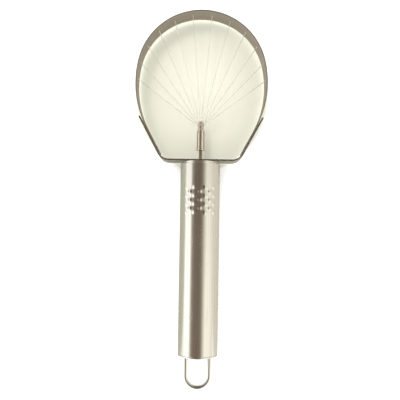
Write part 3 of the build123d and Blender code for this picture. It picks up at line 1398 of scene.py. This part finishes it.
@dataclass
class TensionPost:
    """The stud that holds the wires, its sleeve, and the nut and washer that draw it down."""

    centre_z: float
    stud_radius: float = 1.05
    stud_sides: int = 72
    stud_foot: float = 0.7
    thread_start: float = 0.3
    thread_above: float = 1.0
    thread_pitch: float = 0.4
    thread_depth: float = 0.2
    tip_length: float = 4.1
    tip_edge: float = 0.15
    eye_height: float = 1.9
    eye_squeeze: float = 0.8
    eye_radius: float = 0.75
    eye_depth: float = 0.45
    collar_height: float = 0.7
    taper_length: float = 1.8
    sleeve_radius: float = 2.25
    sleeve_edge: float = 0.12
    sleeve_groove: float = 0.1
    groove_above_foot: float = 1.6
    groove_below_taper: float = 1.0
    stud_fit: float = 0.05
    nut_fit: float = 0.02
    nut_sides: int = 120
    nut_chamfer: float = 0.25
    nut_lead: float = 0.15
    washer_edge: float = 0.06
    washer_share: float = 0.8
    washer_gap: float = 0.06

    def __post_init__(self) -> None:
        """Reads the post's stations from its boxes."""
        self.stud = Span.of("anchor_stud")
        self.sleeve = Span.of("post_sleeve")
        self.tip_radius = self.stud.size.x / 2
        self.tip_root = self.stud.high.y - self.tip_length

    def build_stud(self) -> bpy.types.Object:
        """The stud: a thread below, a plain shank in the sleeve and a bullet tip with an eye.

        Returns:
            The dressed stud.
        """
        low, thread_end = self.stud.low.y, self.sleeve.low.y + self.thread_above
        thread_low = low + self.thread_start
        tip, soft = self.tip_radius, self.tip_edge
        dome_y = self.stud.high.y - tip
        outline = [(0.0, low), (self.stud_radius * self.stud_foot, low)]
        outline += [(self.stud_radius, y) for y in steps(thread_low, thread_end, self.thread_pitch / 8)]
        outline += [(self.stud_radius, self.tip_root), (tip - soft, self.tip_root)]
        outline += [(tip, y) for y in steps(self.tip_root + soft, dome_y, 0.12)]
        outline += [(tip * math.cos(a), dome_y + tip * math.sin(a)) for a in turns(5, 90, 5)]

        def relief(angle: float, radius: float, y: float) -> float:
            """The thread's groove on the shank, and the eye on the tip's two faces.

            Args:
                angle: Angle round the stud.
                radius: The outline's radius.
                y: The station.

            Returns:
                How far the surface is moved out.
            """
            if thread_low < y < thread_end - 0.05 and radius == self.stud_radius:
                turn = (y / self.thread_pitch + angle / math.tau) % 1.0
                return -self.thread_depth * (1 - abs(2 * turn - 1))
            if y > self.tip_root + soft and radius > 0.3:
                across = self.tip_radius * math.sin(angle)
                away = math.hypot(across, (y - self.tip_root - self.eye_height) * self.eye_squeeze)
                return -self.eye_depth * (1 - eased(away / self.eye_radius))
            return 0.0

        def dome(radius: float, y: float) -> float:
            """Wear of the tip's dome."""
            return 0.8 if y > dome_y else 0.0

        skin = Skin()
        Turning(outline, self.centre_z, self.stud_sides, loop=False, worn=dome,
                relief=relief).add_to(skin)
        piece = skin.to_object("threaded_stud")
        return dress(piece, STUD_STEEL, Slot.POST, Body.SLICER, "anchor_stud")

    def build_sleeve(self) -> bpy.types.Object:
        """The turned sleeve, with a collar at its foot and a taper at its head.

        Returns:
            The dressed sleeve.
        """
        low, high = self.sleeve.low.y, self.sleeve.high.y
        collar, bore, soft = self.sleeve.size.x / 2, self.stud_radius + self.stud_fit, self.sleeve_edge
        barrel, groove, shelf = self.sleeve_radius, self.sleeve_groove, low + self.collar_height
        outline = [(bore, high), (bore, low), (collar - soft, low), (collar, low + soft)]
        outline += [(collar, shelf - soft), (collar - soft, shelf), (barrel, shelf)]
        grooves = (low + self.groove_above_foot, high - self.taper_length - self.groove_below_taper)
        for turned in grooves:
            outline += [(barrel, turned), (barrel - groove, turned + groove)]
            outline += [(barrel - groove, turned + 2 * groove), (barrel, turned + 3 * groove)]
        outline += [(barrel, high - self.taper_length), (self.tip_radius, high - soft)]
        outline += [(self.tip_radius - soft, high)]

        def rim(radius: float, y: float) -> float:
            """Wear of the collar's rim."""
            return 0.7 if radius > barrel + 0.1 else 0.0

        skin = Skin()
        Turning(outline, self.centre_z, self.stud_sides, worn=rim).add_to(skin)
        piece = skin.to_object("turned_sleeve")
        return dress(piece, TURNED_STEEL, Slot.POST, Body.SLICER, "post_sleeve")

    def build_nut(self) -> bpy.types.Object:
        """The hexagon nut, with its corners chamfered.

        Returns:
            The dressed nut.
        """
        box = Span.of("tension_nut")
        flat = min(box.size.x, box.size.z) / 2
        low, high, chamfer, lead = box.low.y, box.high.y, self.nut_chamfer, self.nut_lead
        corner, bore = flat / math.cos(math.pi / 6), self.stud_radius + self.nut_fit
        turned = 0.0 if box.size.x > box.size.z else math.pi / 6
        outline = [(bore + lead, low), (flat, low), (corner, low + chamfer)]
        outline += [(corner, high - chamfer), (flat, high), (bore + lead, high)]
        outline += [(bore, high - lead), (bore, low + lead)]

        def hexagon(angle: float, radius: float, y: float) -> float:
            """How far the flats cut into the corner circle.

            Args:
                angle: Angle round the nut.
                radius: The outline's radius.
                y: The station.

            Returns:
                How far the surface is moved out.
            """
            if radius < flat - 0.01:
                return 0.0
            lean = (angle + turned) % (math.pi / 3) - math.pi / 6
            return min(0.0, flat / math.cos(lean) - radius)

        def outside(radius: float, y: float) -> float:
            """Wear of the flats and corners."""
            return 0.5 if radius >= flat else 0.0

        skin = Skin()
        Turning(outline, self.centre_z, self.nut_sides, worn=outside, relief=hexagon).add_to(skin)
        piece = skin.to_object("hexagon_nut", sharp_angle=24.0)
        return dress(piece, PLAIN_STEEL, Slot.HARDWARE, Body.SLICER, "tension_nut")

    def build_washer(self) -> bpy.types.Object:
        """The split lock washer, one end sprung a little above the other.

        Returns:
            The dressed washer.
        """
        box = Span.of("lock_washer")
        outer, bore = box.size.x / 2, self.stud_radius + self.stud_fit
        thick = box.size.y * self.washer_share
        spring = box.size.y - thick
        skin, firsts = Skin(), []
        wide, mid = (outer - bore) / 2, (outer + bore) / 2
        around = rounded_box(wide, thick / 2, self.washer_edge, 2)
        angles = steps(self.washer_gap, math.tau - self.washer_gap, math.radians(5))
        for turn in angles:
            lift = box.low.y + thick / 2 + spring * (turn - angles[0]) / (angles[-1] - angles[0])
            x, z = math.sin(turn), math.cos(turn)
            ring = [Vector(((mid + a) * x, lift + b, self.centre_z + (mid + a) * z))
                    for a, b in around]
            grain = [Vector((b, (mid + a) * turn, a)) for a, b in around]
            firsts.append(skin.add_ring(ring, grain, [0.3] * len(around)))
        skin.join(firsts, len(around))
        piece = skin.to_object("split_washer")
        return dress(piece, PLAIN_STEEL, Slot.HARDWARE, Body.SLICER, "lock_washer")

    def build(self) -> None:
        """Builds the stud, its sleeve, its washer and its nut."""
        self.build_stud()
        self.build_sleeve()
        self.build_washer()
        self.build_nut()


# ---------------------------------------------------------------------- room


@dataclass(frozen=True)
class Panel:
    """A stop in the ring of panels round the studio: its angle from overhead and its light."""

    angle: float
    light: Colour


@dataclass
class Studio:
    """A pale floor, the soft panels that the steel mirrors, a window and the camera above.

    The floor carries painted shade in cream under the hoop, and its colours in the steel's
    reflections are painted reflections of a shaded floor. Lengths are in millimetres
    but for half_floor, which is in metres.
    """

    floor_white: Colour = (0.95, 0.95, 0.93)
    # Painted shade: the floor under the hoop is cream and darker, in place of the hoop's shade on it.
    painted_hoop_shade: Colour = (0.62, 0.614, 0.515)
    # Painted reflections: floor colours that only the steel sees, standing in for the floor's shade:
    # darkest to the left of the handle, dark to its right and under the hoop, and lighter near the
    # hanging loop.
    painted_reflection_left: Colour = (0.37, 0.37, 0.315)
    painted_reflection_right: Colour = (0.49, 0.47, 0.405)
    painted_reflection_below: Colour = (0.72, 0.72, 0.69)
    painted_reflection_hoop: Colour = (0.545, 0.503, 0.424)
    room_light: Colour = (1.7, 1.7, 1.7)
    far_fade: float = 0.24
    far_edge: tuple[float, float] = (-0.06, 0.12)
    window_light: float = 0.9
    window_way: Direction = (-0.32, 0.3, 1.0)
    window_softness: float = math.radians(16)
    # The soft ellipse of painted shade under the hoop: its half sizes, its shift along Y and its edge.
    hoop_shade_reach: tuple[float, float] = (37.8, 44.8)
    hoop_shade_shift: float = -6.3
    hoop_shade_fade: tuple[float, float] = (0.99, 1.05)
    side_fade: float = 6.0
    below_fade: tuple[float, float] = (2.0, 16.0)
    floor_drop: float = 0.1
    floor_grain: float = 900.0
    half_floor: float = 1.6
    lens: float = 54.0
    camera_height: float = 335.2
    camera_forward: float = -81.5
    camera_side: float = 0.8
    camera_pitch: float = math.radians(2.12)
    camera_yaw: float = math.radians(0.12)
    camera_roll: float = math.radians(0.88)
    panels: tuple[Panel, ...] = (
        Panel(-180.0, (0.8, 0.8, 0.7)),
        Panel(-91.0, (1.2, 1.2, 1.1)),
        Panel(-87.0, (1.75, 1.75, 1.68)),
        Panel(-53.0, (1.75, 1.75, 1.68)),
        Panel(-46.0, (0.6, 0.53, 0.45)),
        Panel(-36.0, (0.3, 0.25, 0.2)),
        Panel(-24.0, (0.25, 0.2, 0.155)),
        Panel(8.0, (0.24, 0.19, 0.15)),
        Panel(18.0, (0.4, 0.35, 0.28)),
        Panel(28.0, (0.85, 0.8, 0.7)),
        Panel(38.0, (1.45, 1.41, 1.27)),
        Panel(58.0, (1.42, 1.39, 1.25)),
        Panel(88.0, (1.1, 1.07, 0.95)),
        Panel(180.0, (0.8, 0.8, 0.7)),
    )

    def build_world(self) -> None:
        """Hangs the panels round the room: the steel mirrors them, and the floor has plain light."""
        world = bpy.data.worlds.new("studio_room")
        bpy.context.scene.world = world
        world.use_nodes = True
        world.node_tree.nodes.clear()
        world.cycles.sampling_method = "NONE"
        graph = Graph(world.node_tree)
        way = graph.node("ShaderNodeTexCoord").outputs["Generated"]
        parts = graph.node("ShaderNodeSeparateXYZ", {0: way})
        around = graph.math("ARCTAN2", parts.outputs["X"], parts.outputs["Z"])
        share = graph.math("ADD", graph.math("DIVIDE", around, math.tau), 0.5)
        ring = graph.node("ShaderNodeValToRGB", {0: share})
        stops = ring.color_ramp.elements
        while len(stops) < len(self.panels):
            stops.new(0.5)
        for stop, panel in zip(stops, self.panels):
            stop.position = panel.angle / 360 + 0.5
            stop.color = (*panel.light, 1)
        mirrored = graph.node("ShaderNodeLightPath").outputs["Is Glossy Ray"]
        light = graph.blend(mirrored, (*self.room_light, 1), ring.outputs["Color"])
        fade = graph.spread(parts.outputs["Y"], *self.far_edge, 0.0, self.far_fade)
        strength = graph.math("SUBTRACT", 1.0, graph.math("MULTIPLY", mirrored, fade))
        back = graph.node("ShaderNodeBackground", {"Color": light, "Strength": strength})
        graph.node("ShaderNodeOutputWorld", {"Surface": back.outputs[0]})

    def build_floor(self, middle: Vector) -> None:
        """Lays the floor under the slicer: white, with painted shade in cream under the hoop.

        Args:
            middle: The hoop's centre.
        """
        low = CAD_BOX[0].z - self.floor_drop * MM
        half = self.half_floor
        mesh = bpy.data.meshes.new("floor")
        corners = [(x * half, y * half, low) for x, y in ((-1, -1), (1, -1), (1, 1), (-1, 1))]
        mesh.from_pydata(corners, [], [[0, 1, 2, 3]])
        floor = bpy.data.objects.new("floor", mesh)
        bpy.context.collection.objects.link(floor)
        mesh.materials.append(self.card(middle))

    def card(self, middle: Vector) -> bpy.types.Material:
        """The floor's material: its shown colours, with painted shade under the hoop, and its
        mirrored colours, which are painted reflections of a shaded floor.

        Args:
            middle: The hoop's centre.

        Returns:
            The material.
        """
        made = bpy.data.materials.new("pale_card")
        made.use_nodes = True
        made.node_tree.nodes.clear()
        graph = Graph(made.node_tree)
        place = graph.node("ShaderNodeTexCoord").outputs["Object"]
        fibre = graph.node(
            "ShaderNodeTexNoise", {"Vector": place, "Scale": self.floor_grain, "Detail": 3.0}
        )
        bump = graph.node(
            "ShaderNodeBump", {"Height": fibre.outputs[0], "Strength": 0.3, "Distance": 0.1 * MM}
        )
        centre = tuple((middle + Vector((0, self.hoop_shade_shift, 0))) * MM)
        reach = (self.hoop_shade_reach[0] * MM, self.hoop_shade_reach[1] * MM, 1.0)
        flat = place
        for operation, amount in (("SUBTRACT", centre), ("DIVIDE", reach), ("MULTIPLY", (1, 1, 0))):
            flat = graph.node(
                "ShaderNodeVectorMath", {0: flat, 1: amount}, operation=operation
            ).outputs[0]
        ring = graph.node("ShaderNodeVectorMath", {0: flat}, operation="LENGTH").outputs["Value"]
        # Painted shade: a soft ellipse under the hoop where the floor turns cream and darker.
        hoop_shade_mask = graph.spread(ring, *self.hoop_shade_fade, 1.0, 0.0)
        parts = graph.node("ShaderNodeSeparateXYZ", {0: place})
        right = graph.spread(parts.outputs["X"], -self.side_fade * MM, self.side_fade * MM)
        near, far = (CAD_BOX[0].y + fade * MM for fade in self.below_fade)
        below = graph.spread(parts.outputs["Y"], near, far, 1.0, 0.0)
        shown = graph.blend(hoop_shade_mask, (*self.floor_white, 1), (*self.painted_hoop_shade, 1))
        # Painted reflections: the floor as the steel mirrors it, shaded darker beside the handle and
        # under the hoop, lighter near the hanging loop.
        painted_reflection = graph.blend(right, (*self.painted_reflection_left, 1), (*self.painted_reflection_right, 1))
        painted_reflection = graph.blend(below, painted_reflection, (*self.painted_reflection_below, 1))
        painted_reflection = graph.blend(hoop_shade_mask, painted_reflection, (*self.painted_reflection_hoop, 1))
        # Glossy rays see the painted reflections, and all other rays see the shown floor.
        mirrored = graph.node("ShaderNodeLightPath").outputs["Is Glossy Ray"]
        colour = graph.blend(mirrored, shown, painted_reflection)
        shader = graph.node(
            "ShaderNodeBsdfPrincipled",
            {"Base Color": colour, "Roughness": 1.0, "Specular IOR Level": 0.0,
             "Normal": bump.outputs[0]},
        )
        graph.node("ShaderNodeOutputMaterial", {"Surface": shader.outputs[0]})
        return made

    def build_window(self) -> None:
        """Lights the floor softly from beyond the hoop; the steel mirrors the panels instead."""
        light = bpy.data.lights.new("window", "SUN")
        light.energy, light.angle = self.window_light, self.window_softness
        window = bpy.data.objects.new("window", light)
        window.rotation_euler = Vector(self.window_way).to_track_quat("Z", "Y").to_euler()
        window.visible_glossy = False
        bpy.context.collection.objects.link(window)

    def build_camera(self, middle: Vector) -> None:
        """Sets the camera above the slicer, looking down.

        Args:
            middle: The hoop's centre.
        """
        camera = bpy.data.cameras.new("camera")
        camera.lens, camera.sensor_width = self.lens, 36.0
        camera.clip_start, camera.clip_end = 0.01, 20.0
        holder = bpy.data.objects.new("camera", camera)
        away = Vector((self.camera_side, self.camera_forward, self.camera_height))
        holder.matrix_world = (
            Matrix.Translation((middle + away) * MM)
            @ Matrix.Rotation(self.camera_pitch, 4, "X")
            @ Matrix.Rotation(self.camera_yaw, 4, "Y")
            @ Matrix.Rotation(self.camera_roll, 4, "Z")
        )
        bpy.context.collection.objects.link(holder)
        bpy.context.scene.camera = holder

    def build(self, middle: Vector) -> None:
        """Builds the room round the slicer.

        Args:
            middle: The hoop's centre.
        """
        bpy.context.scene.view_settings.view_transform = "Standard"
        self.build_world()
        self.build_floor(middle)
        self.build_window()
        self.build_camera(middle)


def main() -> None:
    """Builds the slicer, piece by piece, and the room round it."""
    logging.basicConfig(level=logging.INFO)
    line = HoopLine()
    middle_z = line.centre.z
    fan = WireFan(line)
    loop = HangingLoop(middle_z)
    fan.build()
    Hoop(line, fan).build()
    Yoke(line).build()
    Handle(middle_z).build(loop)
    TensionPost(middle_z).build()
    loop.build()
    Studio().build(line.centre)


if __name__ == "__main__":
    main()
